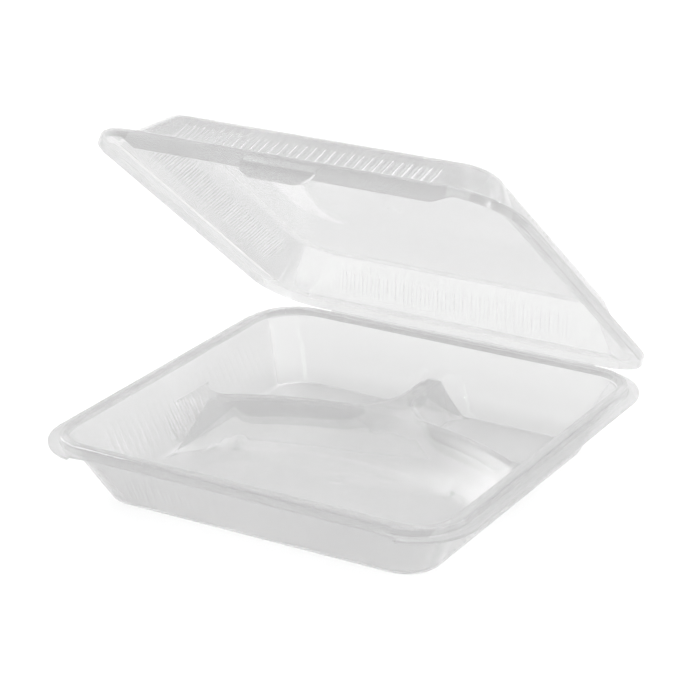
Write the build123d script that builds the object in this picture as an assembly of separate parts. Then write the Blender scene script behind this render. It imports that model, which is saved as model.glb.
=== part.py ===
from build123d import *
import math
import os

# Driving dimensions of the moulding, mm
RIM_SIDE = 228.6
RIM_CORNER_R = 31.6
TRAY_HEIGHT = 34.7
BASE_SIDE = 177.4
WALL_CORNER_R = 20.0
LID_CROWN_SIDE = 175.6
CLOSED_HEIGHT = 56.9
WALL_T = 1.0
OPEN_ANGLE = 39.0

# Rim of the tray
BEAD_RISE = 3.5
BEAD_W = 6.0
BEAD_EASE = 0.9
FLANGE_T = 1.3
FLANGE_W = 5.1
FLANGE_NOTCH_HALF = 88.2
FLANGE_TAPER = 14.0

# Three compartments
CREST_Z = 20.0
CREST_ROUND = 3.6
CREST_STEPS = 3
ARM_LAND_W = 5.0
REAR_LAND_W = 8.0
ARM_MID_Y = 34.0
ARM_END_Y = 1.0
ARM_HOOK = 8.0
FRONT_SLOPE = 1.2
REAR_SLOPE = 0.5
ARM_FOOT_R = 17.0
REAR_FOOT_R = 9.0
FLOOR_R = 2.0
FOOT_STEPS = 3
FLOOR_STEPS = 3
SECTION_MIN = 0.3
FRONT_CORNER_R = 25.0
REAR_CORNER_R = 12.0
REAR_HEEL_R = 28.0

# Rim and thumb tab of the lid
LID_T = 1.0
LID_INSET = 1.2
SKIRT_T = 1.2
SKIRT_DROP = 4.4
SKIRT_DEEP_HALF = 87.0
SKIRT_SLOPE = 9.0
CROWN_ROUND = 6.5
TAB_W = 38.5
TAB_LEN = 12.4
TAB_T = 1.4
TAB_FLARE = 25.0
TAB_CORNER_R = 8.5
TAB_DROP = 1.8

# Upright flutes on the straight run of every wall
FLUTE_PITCH = 5.0
FLUTE_W = 3.0
TRAY_FLUTE_DEPTH = 0.2
LID_FLUTE_DEPTH = 0.3
FLUTE_END = 4.5
TRAY_FLUTE_HALF = 72.0
LID_FLUTE_HALF = 70.0

# Named clearances and small details
LID_GAP = 0.3
NOTCH_GAP = 0.5
HINGE_SETBACK = 0.6
WEB_T = 0.5
WEB_HALF = 78.0
GATE_R = 1.4
GATE_H = 0.25
GATE_DIMPLE_R = 4.0
GATE_DEPTH = 0.35
TRAY_GATE_Y = 13.0
LID_GATE_Y = -1.5
LID_EASE = 0.4

# Values worked out from the ones above
RIM_HALF = RIM_SIDE / 2
BASE_HALF = BASE_SIDE / 2
LAND_Z = TRAY_HEIGHT - BEAD_RISE
BEAD_FOOT_HALF = RIM_HALF - FLANGE_W
BEAD_FOOT_R = RIM_CORNER_R - FLANGE_W
WALL_TOP_HALF = BEAD_FOOT_HALF - BEAD_W + WALL_T / 4
LEAN = (WALL_TOP_HALF - BASE_HALF) / LAND_Z
WALL_RUN = WALL_T * math.sqrt(1 + LEAN * LEAN)
LID_UNDER_Z = TRAY_HEIGHT + LID_GAP
LID_TOP_Z = LID_UNDER_Z + LID_T
SKIRT_Z = LAND_Z + LID_GAP
CROWN_HALF = LID_CROWN_SIDE / 2
LID_HALF = RIM_HALF - LID_INSET
LID_R = RIM_CORNER_R - LID_INSET
NOTCH_Y = SKIRT_T + NOTCH_GAP - LID_HALF
HINGE_Y = RIM_HALF + HINGE_SETBACK
HINGE_Z = (LAND_Z + SKIRT_Z) / 2
BASE_ROUND = FLOOR_R + WALL_T
POCKET_R = WALL_CORNER_R - WALL_RUN


def slab(half, radius, z0, z1):
    """Straight-sided block with a rounded square outline."""
    outline = Plane.XY.offset(z0) * RectangleRounded(2 * half, 2 * half, radius)
    return extrude(outline, z1 - z0)


def frustum(low_half, low_z, high_half, high_z, radius):
    """Block with four flat leaning sides and rounded upright corners."""
    near = low_half - high_half
    end = low_half + high_half
    rise = high_z - low_z
    block = Wedge(2 * low_half, rise, 2 * low_half, near, near, end, end)
    block = Pos(0, 0, (low_z + high_z) / 2) * Rotation(90, 0, 0) * block
    return fillet(upright_edges(block), radius)


def upright_edges(solid):
    """Edges of a solid that rise instead of running level."""
    return [
        e
        for e in solid.edges()
        if abs(e.position_at(0).Z - e.position_at(1).Z) > 0.15
    ]


def outer_half(z):
    """Half side of the tray's outer wall at height z."""
    return BASE_HALF + LEAN * z


def inner_half(z):
    """Half side of the tray's inner wall at height z."""
    return outer_half(z) - WALL_RUN


def arm_y(x):
    """Centre line of the bowed divider arm, highest on the middle line."""
    reach = inner_half(CREST_Z)
    return ARM_MID_Y - (ARM_MID_Y - ARM_END_Y) * (x / reach) ** 2


def eased(z):
    """How far the rounded crest has drawn back from its side at height z."""
    short = max(0.0, CREST_ROUND - (CREST_Z - z))
    return short * short / (2 * CREST_ROUND)


def foot_in(z, slope, radius):
    """How far the round at the foot of a side stands in from it at height z.

    The side runs outward by slope for each unit of height.
    """
    lean = math.atan2(1, slope)
    rise = z - WALL_T
    if rise < 0 or rise >= radius * (1 - math.cos(lean)):
        return 0.0
    ball = radius / math.sin(lean) - (radius - rise) * slope
    return ball - math.sqrt(2 * radius * rise - rise * rise)


def front_outline(z, grow=0.0):
    """Outline of the front compartment at height z, grown outward by grow."""
    near = 0.0 if grow else foot_in(z, LEAN, FLOOR_R)
    foot = 0.0 if grow else foot_in(z, FRONT_SLOPE, ARM_FOOT_R)
    half = inner_half(z) + grow - near
    back = ARM_LAND_W / 2 + (CREST_Z - z) * FRONT_SLOPE - grow - eased(z) + foot
    line = [
        Line((-half, -half), (half, -half)),
        Line((half, -half), (half, ARM_END_Y - back)),
        ThreePointArc(
            (half, ARM_END_Y - back), (0, ARM_MID_Y - back), (-half, ARM_END_Y - back)
        ),
        Line((-half, ARM_END_Y - back), (-half, -half)),
    ]
    face = Plane.XY.offset(z) * make_face(Curve() + line)
    low = face.vertices().group_by(Axis.Y)[0]
    face = fillet(low, POCKET_R + grow - near)
    ends = [v for v in face.vertices() if v.Y > ARM_END_Y - back - 0.01]
    return fillet(ends, FRONT_CORNER_R + grow - foot)


def rear_outline(z, grow=0.0):
    """Outline of the right rear compartment at height z, grown by grow.

    The bowed side meets the outer wall at most ARM_HOOK short of the arm's own curve, and the heel's
    round is limited by the straight side above it.
    """
    near = 0.0 if grow else foot_in(z, LEAN, FLOOR_R)
    foot = 0.0 if grow else foot_in(z, REAR_SLOPE, REAR_FOOT_R)
    half = inner_half(z) + grow - near
    rise = (CREST_Z - z) * REAR_SLOPE - grow - eased(z) + foot
    left = REAR_LAND_W / 2 + rise
    low = ARM_LAND_W / 2 + rise
    mid = (left + half) / 2
    end = low + max(ARM_END_Y, arm_y(half) - ARM_HOOK)
    line = [
        ThreePointArc((left, arm_y(left) + low), (mid, arm_y(mid) + low), (half, end)),
        Line((half, end), (half, half)),
        Line((half, half), (left, half)),
        Line((left, half), (left, arm_y(left) + low)),
    ]
    face = Plane.XY.offset(z) * make_face(Curve() + line)
    corner = [v for v in face.vertices() if v.X > half - 0.01 and v.Y > half - 0.01]
    face = fillet(corner, POCKET_R + grow - near)
    tip_radius = REAR_CORNER_R + grow - foot
    room = half - arm_y(left) - low - tip_radius
    heel = [v for v in face.vertices() if v.X < left + 0.01 and v.Y < half - 0.01]
    face = fillet(heel, min(REAR_HEEL_R + grow - foot, room))
    rest = [
        v
        for v in face.vertices()
        if v.Y < end + 0.01 or (v.X < left + 0.01 and v.Y > half - 0.01)
    ]
    return fillet(rest, tip_radius)


def foot_heights(slope, radius, steps):
    """Heights that split the round at the foot of a side into even steps."""
    lean = math.atan2(1, slope)
    return [WALL_T + radius * (1 - math.cos(lean * k / steps)) for k in range(steps + 1)]


def section_heights(slope, foot_radius):
    """All section heights of a compartment, floor to crest."""
    crest = [CREST_Z - CREST_ROUND * (1 - k / CREST_STEPS) for k in range(CREST_STEPS + 1)]
    foot = foot_heights(slope, foot_radius, FOOT_STEPS)
    levels = sorted(foot + foot_heights(LEAN, FLOOR_R, FLOOR_STEPS)[1:] + crest)
    kept = [levels[0]]
    for level in levels[1:]:
        if level - kept[-1] > SECTION_MIN:
            kept.append(level)
    return kept[:-1] + [CREST_Z]


def pocket(outline, heights, grow=0.0):
    """Solid of one compartment through its outlines at the given heights."""
    return loft([outline(z, grow) for z in heights], ruled=True)


def mirrored(solid):
    """The same solid on the left of the middle plane."""
    return mirror(solid, about=Plane.YZ)


def flutes(foot_half, foot_z, top_half, top_z, run_half, depth):
    """Ridged strips that sink the shallow flutes into all four outer walls."""
    lean = math.atan2(top_half - foot_half, top_z - foot_z)
    length = math.hypot(top_half - foot_half, top_z - foot_z) - 2 * FLUTE_END
    mid_half = (foot_half + top_half) / 2
    mid_z = (foot_z + top_z) / 2
    count = int(run_half // FLUTE_PITCH)
    corners = [(-depth, 0), (2 * depth, FLUTE_W * 1.5), (2 * depth, -FLUTE_W * 1.5)]
    prism = extrude(Polygon(*corners, align=None), length / 2, both=True)
    place = Location((mid_half, 0, mid_z)) * Rotation(0, math.degrees(lean), 0)
    return [
        Rotation(0, 0, 90 * side) * Pos(0, k * FLUTE_PITCH, 0) * place * prism
        for side in range(4)
        for k in range(-count, count + 1)
    ]


def hinge_web(back_y, low_z):
    """Thin strip from the wall at back_y to just short of the hinge line."""
    front_y = HINGE_Y - LID_GAP / 2
    return Pos(0, (back_y + front_y) / 2, low_z + WEB_T / 2) * Box(
        2 * WEB_HALF, front_y - back_y, WEB_T
    )


def gate_mark(x, y, z, side):
    """Shallow dimple and the gate nub inside it, on the face that looks to side."""
    dimple = Pos(x, y, z) * Cylinder(GATE_DIMPLE_R, 2 * GATE_DEPTH)
    nub = Pos(x, y, z - side * GATE_DEPTH) * Cylinder(GATE_R, GATE_H * 2)
    return dimple, nub


def level_edges(solid, z):
    """Edges of a solid that lie at one height."""
    return solid.edges().filter_by(lambda e: abs(e.center().Z - z) < 0.01)


def build_tray():
    """The tray with its rim, three compartments and half of the hinge web."""
    body = frustum(BASE_HALF, 0, WALL_TOP_HALF, LAND_Z, WALL_CORNER_R)
    body = fillet(level_edges(body, 0), BASE_ROUND)
    flange = slab(RIM_HALF, RIM_CORNER_R, LAND_Z - FLANGE_T, LAND_Z)
    bead = slab(BEAD_FOOT_HALF, BEAD_FOOT_R, LAND_Z, TRAY_HEIGHT)
    bead = chamfer(level_edges(bead, TRAY_HEIGHT), BEAD_EASE)
    notch = (
        Plane.XY.offset(LAND_Z - FLANGE_T)
        * make_face(
            Polyline(
                (-FLANGE_NOTCH_HALF, -RIM_HALF - FLANGE_W),
                (-FLANGE_NOTCH_HALF, NOTCH_Y),
                (FLANGE_TAPER - FLANGE_NOTCH_HALF, -BEAD_FOOT_HALF),
                (FLANGE_NOTCH_HALF - FLANGE_TAPER, -BEAD_FOOT_HALF),
                (FLANGE_NOTCH_HALF, NOTCH_Y),
                (FLANGE_NOTCH_HALF, -RIM_HALF - FLANGE_W),
                close=True,
            )
        )
    )
    flange -= extrude(notch, FLANGE_T)
    web = hinge_web(RIM_HALF - WEB_T, LAND_Z - WEB_T)
    body = body + flange + bead + web
    channel = slab(
        BEAD_FOOT_HALF - WALL_T, BEAD_FOOT_R - WALL_T, LAND_Z - FLANGE_T, TRAY_HEIGHT - WALL_T
    )
    channel -= frustum(BASE_HALF, 0, outer_half(TRAY_HEIGHT), TRAY_HEIGHT, WALL_CORNER_R)
    body -= channel
    body -= flutes(BASE_HALF, 0, WALL_TOP_HALF, LAND_Z, TRAY_FLUTE_HALF, TRAY_FLUTE_DEPTH)

    upper = frustum(inner_half(CREST_Z), CREST_Z, inner_half(LAND_Z), LAND_Z, POCKET_R)
    mouth_half = min(inner_half(LAND_Z) + WALL_T, outer_half(TRAY_HEIGHT) - WALL_T / 2)
    mouth = frustum(inner_half(LAND_Z), LAND_Z, mouth_half, TRAY_HEIGHT, POCKET_R)
    front = pocket(front_outline, section_heights(FRONT_SLOPE, ARM_FOOT_R))
    rear = pocket(rear_outline, section_heights(REAR_SLOPE, REAR_FOOT_R))
    body -= upper + mouth
    body -= front
    body -= rear
    body -= mirrored(rear)

    groove_z = CREST_Z - WALL_T - CREST_ROUND / 3
    ridge = slab(inner_half(0) - WALL_T, POCKET_R, -WALL_T, groove_z)
    ridge -= pocket(front_outline, (-WALL_T, groove_z), WALL_RUN)
    rear_shell = pocket(rear_outline, (-WALL_T, groove_z), WALL_RUN)
    ridge -= rear_shell
    ridge -= mirrored(rear_shell)
    body -= ridge
    dimple, nub = gate_mark(0, -TRAY_GATE_Y, 0, -1)
    return body - dimple + nub


def build_lid():
    """The lid in its closed place over the tray."""
    plate_top = slab(LID_HALF, LID_R, LID_UNDER_Z, LID_TOP_Z)
    plate_top = chamfer(level_edges(plate_top, LID_TOP_Z), LID_EASE)
    skirt = slab(LID_HALF, LID_R, SKIRT_Z, LID_UNDER_Z)
    skirt -= slab(LID_HALF - SKIRT_T, LID_R - SKIRT_T, SKIRT_Z, LID_UNDER_Z)
    deep = slab(LID_HALF, LID_R, SKIRT_Z - SKIRT_DROP, SKIRT_Z)
    deep -= slab(LID_HALF - SKIRT_T, LID_R - SKIRT_T, SKIRT_Z - SKIRT_DROP, SKIRT_Z)
    reach = Plane.XZ.offset(LID_HALF - LID_R) * make_face(
        Polyline(
            (-SKIRT_DEEP_HALF, SKIRT_Z),
            (SKIRT_SLOPE - SKIRT_DEEP_HALF, SKIRT_Z - SKIRT_DROP),
            (SKIRT_DEEP_HALF - SKIRT_SLOPE, SKIRT_Z - SKIRT_DROP),
            (SKIRT_DEEP_HALF, SKIRT_Z),
            close=True,
        )
    )
    deep &= extrude(reach, LID_R)
    dome = frustum(WALL_TOP_HALF, LID_UNDER_Z, CROWN_HALF, CLOSED_HEIGHT, WALL_CORNER_R)
    dome = fillet(level_edges(dome, CLOSED_HEIGHT), CROWN_ROUND)
    lean = (WALL_TOP_HALF - CROWN_HALF) / (CLOSED_HEIGHT - LID_UNDER_Z)
    run = LID_T * math.sqrt(1 + lean * lean)
    ceiling = CLOSED_HEIGHT - LID_T
    hollow = frustum(
        WALL_TOP_HALF - run,
        LID_UNDER_Z,
        CROWN_HALF + lean * LID_T - run,
        ceiling,
        WALL_CORNER_R - LID_T,
    )
    hollow = fillet(level_edges(hollow, ceiling), CROWN_ROUND - LID_T)
    web = hinge_web(LID_HALF - WEB_T, SKIRT_Z)
    flare = math.radians(TAB_FLARE)
    tab_plane = Plane(
        origin=(0, SKIRT_T / 2 - LID_HALF, LID_UNDER_Z - TAB_DROP),
        x_dir=(1, 0, 0),
        z_dir=(0, -math.cos(flare), math.sin(flare)),
    )
    shape = RectangleRounded(TAB_W, 2 * TAB_LEN, TAB_CORNER_R)
    shape &= Pos(0, -TAB_LEN) * Rectangle(2 * TAB_W, 2 * TAB_LEN)
    tab = extrude(tab_plane * shape, TAB_T / 2, both=True)
    lid = plate_top + skirt + deep + dome + tab + web
    lid -= hollow
    lid -= flutes(
        WALL_TOP_HALF, LID_UNDER_Z, CROWN_HALF, CLOSED_HEIGHT, LID_FLUTE_HALF, LID_FLUTE_DEPTH
    )
    dimple, nub = gate_mark(0, -LID_GATE_Y, CLOSED_HEIGHT, 1)
    return lid - dimple + nub


os.makedirs("parts", exist_ok=True)
tray = build_tray()
lid = build_lid()
lid = lid.rotate(Axis((0, HINGE_Y, HINGE_Z), (-1, 0, 0)), OPEN_ANGLE)
print("tray", tray.volume, len(tray.solids()), tray.is_valid)
print("lid", lid.volume, len(lid.solids()), lid.is_valid)
export_step(tray, "parts/tray.step")
export_step(lid, "parts/lid.step")
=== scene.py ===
"""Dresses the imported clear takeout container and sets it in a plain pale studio."""

from __future__ import annotations

import logging
import math
from dataclasses import dataclass
from enum import Enum

import bpy
import numpy as np
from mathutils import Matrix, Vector


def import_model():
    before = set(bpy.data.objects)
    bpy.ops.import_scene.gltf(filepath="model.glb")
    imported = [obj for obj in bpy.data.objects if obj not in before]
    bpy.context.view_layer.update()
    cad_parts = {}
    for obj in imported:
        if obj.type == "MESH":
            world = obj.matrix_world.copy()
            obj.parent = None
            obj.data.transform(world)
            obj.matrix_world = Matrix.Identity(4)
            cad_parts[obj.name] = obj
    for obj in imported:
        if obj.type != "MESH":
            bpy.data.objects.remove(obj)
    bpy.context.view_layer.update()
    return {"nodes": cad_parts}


MM = 0.001
LOG = logging.getLogger("container")


def srgb(code: str) -> tuple[float, float, float, float]:
    """Turn an sRGB hex value into linear colour, by the curve of the sRGB standard.

    Args:
        code: six hex digits with a leading hash.

    Returns:
        Linear red, green, blue and an alpha of one.
    """
    parts = np.array([int(code[i : i + 2], 16) for i in (1, 3, 5)]) / 255.0
    low = parts / 12.92
    high = ((parts + 0.055) / 1.055) ** 2.4
    red, green, blue = np.where(parts <= 0.04045, low, high)
    return float(red), float(green), float(blue), 1.0


def add_node(
    tree: bpy.types.NodeTree,
    kind: str,
    settings: dict[str, object] | None = None,
    **inputs: object,
) -> bpy.types.Node:
    """Add one node with its settings, values and links.

    Args:
        tree: node tree that gets the node.
        kind: Blender's name of the node type.
        settings: properties of the node itself.
        **inputs: a value or an output socket for each input. An input goes by its name, with
            underscores for spaces, or by its number after one underscore.

    Returns:
        The new node.
    """
    node = tree.nodes.new(kind)
    for name, value in (settings or {}).items():
        setattr(node, name, value)
    for name, value in inputs.items():
        key = int(name[1:]) if name[0] == "_" else name.replace("_", " ")
        socket = node.inputs[key]
        if isinstance(value, bpy.types.NodeSocket):
            tree.links.new(value, socket)
        else:
            socket.default_value = value
    return node


def fresh_material(name: str) -> tuple[bpy.types.Material, bpy.types.NodeTree]:
    """Make an empty node material.

    Args:
        name: name of the material.

    Returns:
        The material and its node tree.
    """
    material = bpy.data.materials.new(name)
    material.use_nodes = True
    material.node_tree.nodes.clear()
    return material, material.node_tree


@dataclass(frozen=True)
class FluteBand:
    """Fine upright flutes on the straight walls of one half, which catch the light as ribs.

    They lie over the flutes that the CAD cuts, at half the pitch of those. The lines are laid out
    as the half lies when the container is closed: tilt_deg turns it back to there about the hinge
    line at pivot_mm. The band runs from low_mm to high_mm in height and to run_mm on both sides of
    each wall's middle. It lies on walls that stand at least out_mm from the centre and face one
    side squarely, by at least wall_facing of their normal.
    """

    tilt_deg: float
    low_mm: float
    high_mm: float
    run_mm: float
    out_mm: float
    depth_mm: float
    pivot_mm: tuple[float, float, float] = (0.0, 114.9, 31.35)
    pitch_mm: float = 2.5
    fade_mm: float = 2.0
    wall_facing: float = 0.75

    def height(self, tree: bpy.types.NodeTree) -> bpy.types.NodeSocket:
        """Draw the flutes as a height.

        The height is the cosine of the run along the wall, with one turn to each pitch. It is
        multiplied by a fade at the band's top and foot, by a fade at its ends, and by two tests,
        one for how far out the wall stands and one for how squarely it faces its side.

        Args:
            tree: node tree of the material.

        Returns:
            A height that waves along the wall inside the band and is zero outside it.
        """
        place = add_node(tree, "ShaderNodeTexCoord")
        about_x = {"rotation_type": "X_AXIS"}
        angle = math.radians(self.tilt_deg)
        spot = add_node(
            tree,
            "ShaderNodeVectorRotate",
            about_x,
            Vector=place.outputs["Object"],
            Center=tuple(length * MM for length in self.pivot_mm),
            Angle=angle,
        )
        normal = add_node(
            tree,
            "ShaderNodeVectorRotate",
            about_x,
            Vector=place.outputs["Normal"],
            Angle=angle,
        )
        x, y, z = add_node(tree, "ShaderNodeSeparateXYZ", Vector=spot.outputs[0]).outputs
        across, along, _ = add_node(
            tree, "ShaderNodeSeparateXYZ", Vector=normal.outputs[0]
        ).outputs
        known = {"x": x, "y": y, "z": z, "across": across, "along": along}
        # A step gives the name of its result, its operation and its operands in order.
        steps = (
            ("facing side", "ABSOLUTE", "across"),
            ("facing end", "ABSOLUTE", "along"),
            ("is side", "GREATER_THAN", "facing side", "facing end"),
            ("y less x", "SUBTRACT", "y", "x"),
            ("run", "MULTIPLY_ADD", "y less x", "is side", "x"),
            ("turns", "MULTIPLY", "run", 2 * math.pi / (self.pitch_mm * MM)),
            ("wave", "COSINE", "turns"),
            ("far in x", "ABSOLUTE", "x"),
            ("far in y", "ABSOLUTE", "y"),
            ("reach", "MAXIMUM", "far in x", "far in y"),
            ("over middle", "SUBTRACT", "z", (self.low_mm + self.high_mm) / 2 * MM),
            ("rise", "ABSOLUTE", "over middle"),
            ("from middle", "ABSOLUTE", "run"),
            ("is out", "GREATER_THAN", "reach", self.out_mm * MM),
            ("facing", "MAXIMUM", "facing side", "facing end"),
            ("is wall", "GREATER_THAN", "facing", self.wall_facing),
        )
        for name, operation, *operands in steps:
            inputs = {f"_{slot}": known.get(item, item) for slot, item in enumerate(operands)}
            node = add_node(tree, "ShaderNodeMath", {"operation": operation}, **inputs)
            known[name] = node.outputs[0]
        limits_mm = {"rise": (self.high_mm - self.low_mm) / 2, "from middle": self.run_mm}
        fades = [
            add_node(
                tree,
                "ShaderNodeMapRange",
                {"interpolation_type": "SMOOTHSTEP"},
                Value=known[name],
                From_Min=(limit_mm - self.fade_mm) * MM,
                From_Max=limit_mm * MM,
                To_Min=1.0,
                To_Max=0.0,
            ).outputs[0]
            for name, limit_mm in limits_mm.items()
        ]
        wave = known["wave"]
        for band in (*fades, known["is out"], known["is wall"]):
            product = add_node(
                tree, "ShaderNodeMath", {"operation": "MULTIPLY"}, _0=wave, _1=band
            )
            wave = product.outputs[0]
        return wave


@dataclass(frozen=True)
class ClearPolypropylene:
    """Natural polypropylene, injection moulded against a polished tool.

    The resin isn't quite clear: its crystals scatter a little light, so one wall greys what lies
    behind it and two walls grey it more. The skin is glossy, with a slow waviness where the melt
    flowed. Part of the light crosses a wall straight, part is blurred by the haze, and the milk of
    the crystals adds its own soft grey. The peel of the skin is drawn coarser than the real one,
    so that it shows.
    """

    flutes: FluteBand
    name: str
    tint: str = "#E3E3E3"
    pane_tint: str = "#F3F3F3"
    shade: str = "#F4F4F4"
    glimmer: str = "#FCFCFC"
    ior: float = 1.49
    haze_roughness: float = 0.16
    straight: float = 0.48
    milk: float = 0.22
    milk_colour: str = "#D5D5D5"
    milk_glow: float = 0.5
    skin_roughness: float = 0.05
    skin_share: float = 0.9
    flow_wave_mm: float = 38.0
    flow_height_mm: float = 0.04
    flow_detail: float = 2.0
    peel_mm: float = 2.2
    peel_height_mm: float = 0.003
    peel_detail: float = 3.0
    relief_softness: float = 0.45

    def relief(self, tree: bpy.types.NodeTree) -> bpy.types.NodeSocket:
        """Shape the skin: the slow flow waves, then the fine peel on them, then the flutes.

        Args:
            tree: node tree of the material.

        Returns:
            The normal of the skin.
        """
        place = add_node(tree, "ShaderNodeTexCoord").outputs["Object"]
        heights = []
        for size_mm, height_mm, detail in (
            (self.flow_wave_mm, self.flow_height_mm, self.flow_detail),
            (self.peel_mm, self.peel_height_mm, self.peel_detail),
        ):
            noise = add_node(
                tree,
                "ShaderNodeTexNoise",
                Vector=place,
                Scale=1.0 / (size_mm * MM),
                Detail=detail,
                Roughness=self.relief_softness,
            )
            heights.append((noise.outputs["Fac"], height_mm))
        heights.append((self.flutes.height(tree), self.flutes.depth_mm))
        # Each relief lies on the one before it, through the normal that it starts from.
        below = {}
        for height, height_mm in heights:
            bump = add_node(
                tree,
                "ShaderNodeBump",
                Height=height,
                Strength=1.0,
                Distance=height_mm * MM,
                **below,
            )
            below = {"Normal": bump.outputs["Normal"]}
        return below["Normal"]

    def material(self) -> bpy.types.Material:
        """Build the shader.

        Returns:
            A hazy see-through material whose shadow lets most of the light through.
        """
        material, tree = fresh_material(self.name)
        normal = self.relief(tree)
        body = add_node(
            tree,
            "ShaderNodeBsdfPrincipled",
            Base_Color=srgb(self.tint),
            Roughness=self.haze_roughness,
            IOR=self.ior,
            Transmission_Weight=1.0,
            Coat_Weight=self.skin_share,
            Coat_Roughness=self.skin_roughness,
            Coat_IOR=self.ior,
            Normal=normal,
            Coat_Normal=normal,
        )
        milk_colour = srgb(self.milk_colour)
        lit = add_node(tree, "ShaderNodeBsdfDiffuse", Color=milk_colour, Normal=normal)
        glow = add_node(tree, "ShaderNodeBsdfTranslucent", Color=milk_colour, Normal=normal)
        pane, glimmer, shadow = (
            add_node(tree, "ShaderNodeBsdfTransparent", Color=srgb(colour))
            for colour in (self.pane_tint, self.glimmer, self.shade)
        )
        cloud = add_node(
            tree,
            "ShaderNodeMixShader",
            _0=self.milk_glow,
            _1=lit.outputs["BSDF"],
            _2=glow.outputs["BSDF"],
        )
        ray = add_node(tree, "ShaderNodeLightPath").outputs
        # Each layer is mixed over the ones before it. The last two are for light on its way to
        # other surfaces, which the walls hardly hold back.
        look = body.outputs["BSDF"]
        for share, layer in (
            (self.straight, pane.outputs["BSDF"]),
            (self.milk, cloud.outputs["Shader"]),
            (ray["Is Diffuse Ray"], glimmer.outputs["BSDF"]),
            (ray["Is Shadow Ray"], shadow.outputs["BSDF"]),
        ):
            mixed = add_node(tree, "ShaderNodeMixShader", _0=share, _1=look, _2=layer)
            look = mixed.outputs["Shader"]
        add_node(tree, "ShaderNodeOutputMaterial", Surface=look)
        return material


@dataclass(frozen=True)
class PaleFloorPaint:
    """Matt white studio paint, rolled, that shows only its soft shading."""

    name: str = "matt white studio paint"
    colour: str = "#EAEAEA"
    roughness: float = 0.9
    gloss: float = 0.0

    def material(self) -> bpy.types.Material:
        """Build the plain matt shader of the stage.

        Returns:
            The floor's material.
        """
        material, tree = fresh_material(self.name)
        body = add_node(
            tree,
            "ShaderNodeBsdfPrincipled",
            Base_Color=srgb(self.colour),
            Roughness=self.roughness,
            Specular_IOR_Level=self.gloss,
        )
        add_node(tree, "ShaderNodeOutputMaterial", Surface=body.outputs["BSDF"])
        return material


class Half(Enum):
    """The two moving halves of the moulding, by the name of their CAD node."""

    TRAY = "tray"
    LID = "lid"


@dataclass(frozen=True)
class MouldedHalf:
    """One half of the moulding, as the CAD gives it, with the band of its flutes."""

    half: Half
    flutes: FluteBand
    merge_mm: float = 0.002
    crease_deg: float = 50.0
    flat_weight: int = 60

    def build(self, nodes: dict[str, bpy.types.Object]) -> bpy.types.Object:
        """Join the loose facets for shading, so that rounds shade as rounds and flats stay flat.

        Args:
            nodes: the CAD objects by name.

        Returns:
            The CAD object of this half.
        """
        piece = nodes[self.half.value]
        count = len(piece.data.polygons)
        piece.data.polygons.foreach_set("use_smooth", np.ones(count, dtype=bool))
        weld = piece.modifiers.new("join facets", "WELD")
        weld.merge_threshold = self.merge_mm * MM
        split = piece.modifiers.new("keep creases", "EDGE_SPLIT")
        split.split_angle = math.radians(self.crease_deg)
        split.use_edge_sharp = False
        weigh = piece.modifiers.new("hold the flats flat", "WEIGHTED_NORMAL")
        weigh.mode = "FACE_AREA"
        weigh.weight = self.flat_weight
        return piece

    def dress(self, piece: bpy.types.Object) -> None:
        """Give every slot of the half the clear finish, with this half's flutes in it.

        Args:
            piece: the CAD object.
        """
        name = f"moulded natural polypropylene of the {self.half.value}"
        material = ClearPolypropylene(self.flutes, name).material()
        for slot in piece.material_slots:
            slot.material = material


@dataclass(frozen=True)
class Softbox:
    """One rectangular softbox, with the point that it faces and how wide its light fans out."""

    name: str
    place_m: tuple[float, float, float]
    aim_m: tuple[float, float, float]
    size_m: tuple[float, float]
    watts: float
    spread_deg: float = 180.0

    def hang(self) -> None:
        """Put the light in its place and turn it to its aim."""
        data = bpy.data.lights.new(self.name, "AREA")
        data.shape = "RECTANGLE"
        data.size, data.size_y = self.size_m
        data.energy = self.watts
        data.spread = math.radians(self.spread_deg)
        lamp = bpy.data.objects.new(self.name, data)
        lamp.location = self.place_m
        way = Vector(self.aim_m) - Vector(self.place_m)
        lamp.rotation_euler = way.to_track_quat("-Z", "Y").to_euler()
        bpy.context.scene.collection.objects.link(lamp)


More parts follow.
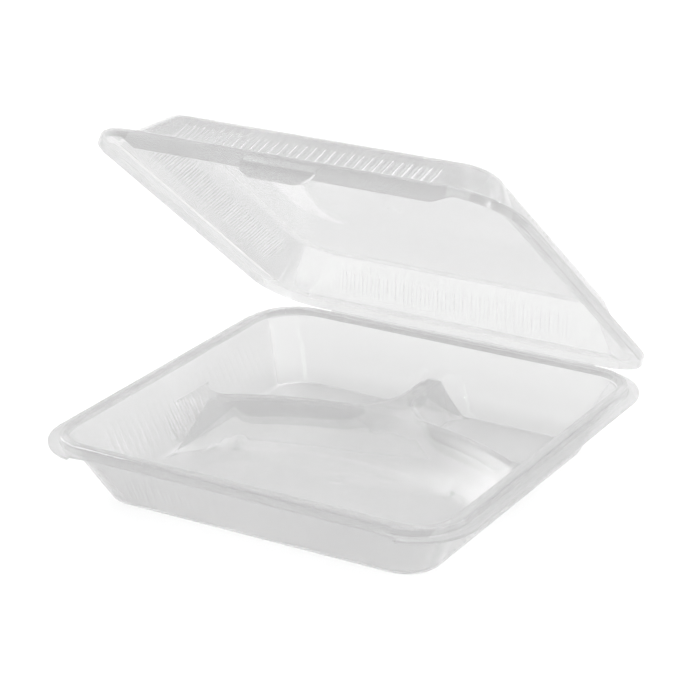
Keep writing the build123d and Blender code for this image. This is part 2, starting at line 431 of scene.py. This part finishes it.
@dataclass(frozen=True)
class Studio:
    """Floor, lights, surroundings and camera."""

    softboxes: tuple[Softbox, ...] = (
        Softbox("key softbox", (0.0, -0.9, 1.6), (0.0, 0.0, 0.0), (1.2, 1.2), watts=9.0),
        Softbox(
            "top softbox",
            (0.1, 0.9, 1.8),
            (0.1, 0.5, 0.0),
            (1.2, 1.2),
            watts=12.0,
            spread_deg=120.0,
        ),
        Softbox("left softbox", (-1.45, 0.6, 1.15), (0.0, 0.0, 0.05), (0.8, 0.9), watts=13.0),
        Softbox("right strip", (1.2, 0.9, 0.8), (0.0, 0.0, 0.05), (0.25, 1.0), watts=2.5),
        Softbox("back glint", (0.6, 0.95, 1.1), (0.0, 0.0, 0.08), (0.12, 0.12), watts=3.0),
        Softbox("front glint", (1.0, -0.5, 0.85), (0.0, 0.0, 0.03), (0.12, 0.12), watts=2.5),
    )
    floor_half_m: float = 7.0
    floor_drop_mm: float = 0.05
    floor_tiles: int = 4
    sky_strength: float = 1.13
    horizon: str = "#FFFFFF"
    horizon_height: float = 0.12
    ceiling: str = "#8E8E8E"
    ceiling_height: float = 0.55
    target_m: tuple[float, float, float] = (0.0, 0.0, 0.040)
    azimuth_deg: float = 30.25
    elevation_deg: float = 22.65
    distance_m: float = 1.2491
    lens_mm: float = 131.45
    sensor_mm: float = 36.0
    shift_y: float = 0.066
    sight_m: float = 50.0

    def build_floor(self) -> None:
        """Lay the floor, a flat square grid of even tiles.

        It lies a hair under the tray, so that the two faces don't coincide. A tile's corners are
        its first point, the next one in the row, and the same two in the next row.
        """
        tiles = self.floor_tiles
        row_points = tiles + 1
        side = np.linspace(-self.floor_half_m, self.floor_half_m, row_points)
        x, y = np.meshgrid(side, side)
        drop = np.full(x.size, -self.floor_drop_mm * MM)
        points = np.stack([x.ravel(), y.ravel(), drop], axis=1)
        row, column = np.meshgrid(np.arange(tiles), np.arange(tiles), indexing="ij")
        first = (row * row_points + column).ravel()
        corners = [first, first + 1, first + row_points + 1, first + row_points]
        quads = np.stack(corners, axis=1)
        mesh = bpy.data.meshes.new("studio_floor")
        mesh.from_pydata(points.tolist(), [], quads.tolist())
        floor = bpy.data.objects.new("studio_floor", mesh)
        bpy.context.scene.collection.objects.link(floor)
        mesh.materials.append(PaleFloorPaint().material())

    def build_lights(self) -> None:
        """Hang the softboxes in their order."""
        for softbox in self.softboxes:
            softbox.hang()

    def build_sky(self) -> None:
        """Set the surroundings, white at the horizon and grey overhead, in plain sRGB colours."""
        world = bpy.data.worlds.new("pale studio")
        world.use_nodes = True
        tree = world.node_tree
        tree.nodes.clear()
        way = add_node(tree, "ShaderNodeTexCoord").outputs["Generated"]
        height = add_node(tree, "ShaderNodeSeparateXYZ", Vector=way).outputs["Z"]
        ramp = add_node(tree, "ShaderNodeValToRGB", Fac=height)
        low, high = ramp.color_ramp.elements
        low.position = self.horizon_height
        low.color = srgb(self.horizon)
        high.position = self.ceiling_height
        high.color = srgb(self.ceiling)
        sky = add_node(
            tree,
            "ShaderNodeBackground",
            Color=ramp.outputs["Color"],
            Strength=self.sky_strength,
        )
        add_node(tree, "ShaderNodeOutputWorld", Surface=sky.outputs["Background"])
        bpy.context.scene.world = world
        bpy.context.scene.view_settings.view_transform = "Standard"

    def build_camera(self) -> None:
        """Stand the camera where the photograph was taken from.

        It looks at the target from its distance, turned by the azimuth and lifted by the
        elevation.
        """
        turn = math.radians(self.azimuth_deg)
        lift = math.radians(self.elevation_deg)
        level = math.cos(lift)
        back = Vector((math.sin(turn) * level, -math.cos(turn) * level, math.sin(lift)))
        data = bpy.data.cameras.new("camera")
        data.sensor_width = self.sensor_mm
        data.lens = self.lens_mm
        data.shift_y = self.shift_y
        data.clip_end = self.sight_m
        camera = bpy.data.objects.new("camera", data)
        camera.location = Vector(self.target_m) + back * self.distance_m
        camera.rotation_euler = (-back).to_track_quat("-Z", "Y").to_euler()
        bpy.context.scene.collection.objects.link(camera)
        bpy.context.scene.camera = camera


def main() -> None:
    """Load the frame, dress it and set the studio round it."""
    logging.basicConfig(level=logging.INFO, format="%(name)s: %(message)s")
    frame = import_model()
    tray_flutes = FluteBand(
        tilt_deg=0.0, low_mm=6.0, high_mm=27.0, run_mm=72.0, out_mm=84.0, depth_mm=0.04
    )
    lid_flutes = FluteBand(
        tilt_deg=39.0, low_mm=39.0, high_mm=50.5, run_mm=70.0, out_mm=86.0, depth_mm=0.08
    )
    for part in (MouldedHalf(Half.TRAY, tray_flutes), MouldedHalf(Half.LID, lid_flutes)):
        piece = part.build(frame["nodes"])
        part.dress(piece)
        LOG.info("%s: %d facets", part.half.value, len(piece.data.polygons))
    studio = Studio()
    studio.build_floor()
    LOG.info("floor: %d by %d tiles", studio.floor_tiles, studio.floor_tiles)
    studio.build_lights()
    studio.build_sky()
    LOG.info("lights: %d softboxes and the sky", len(studio.softboxes))
    studio.build_camera()
    LOG.info("camera: %.0f mm lens", studio.lens_mm)


if __name__ == "__main__":
    main()
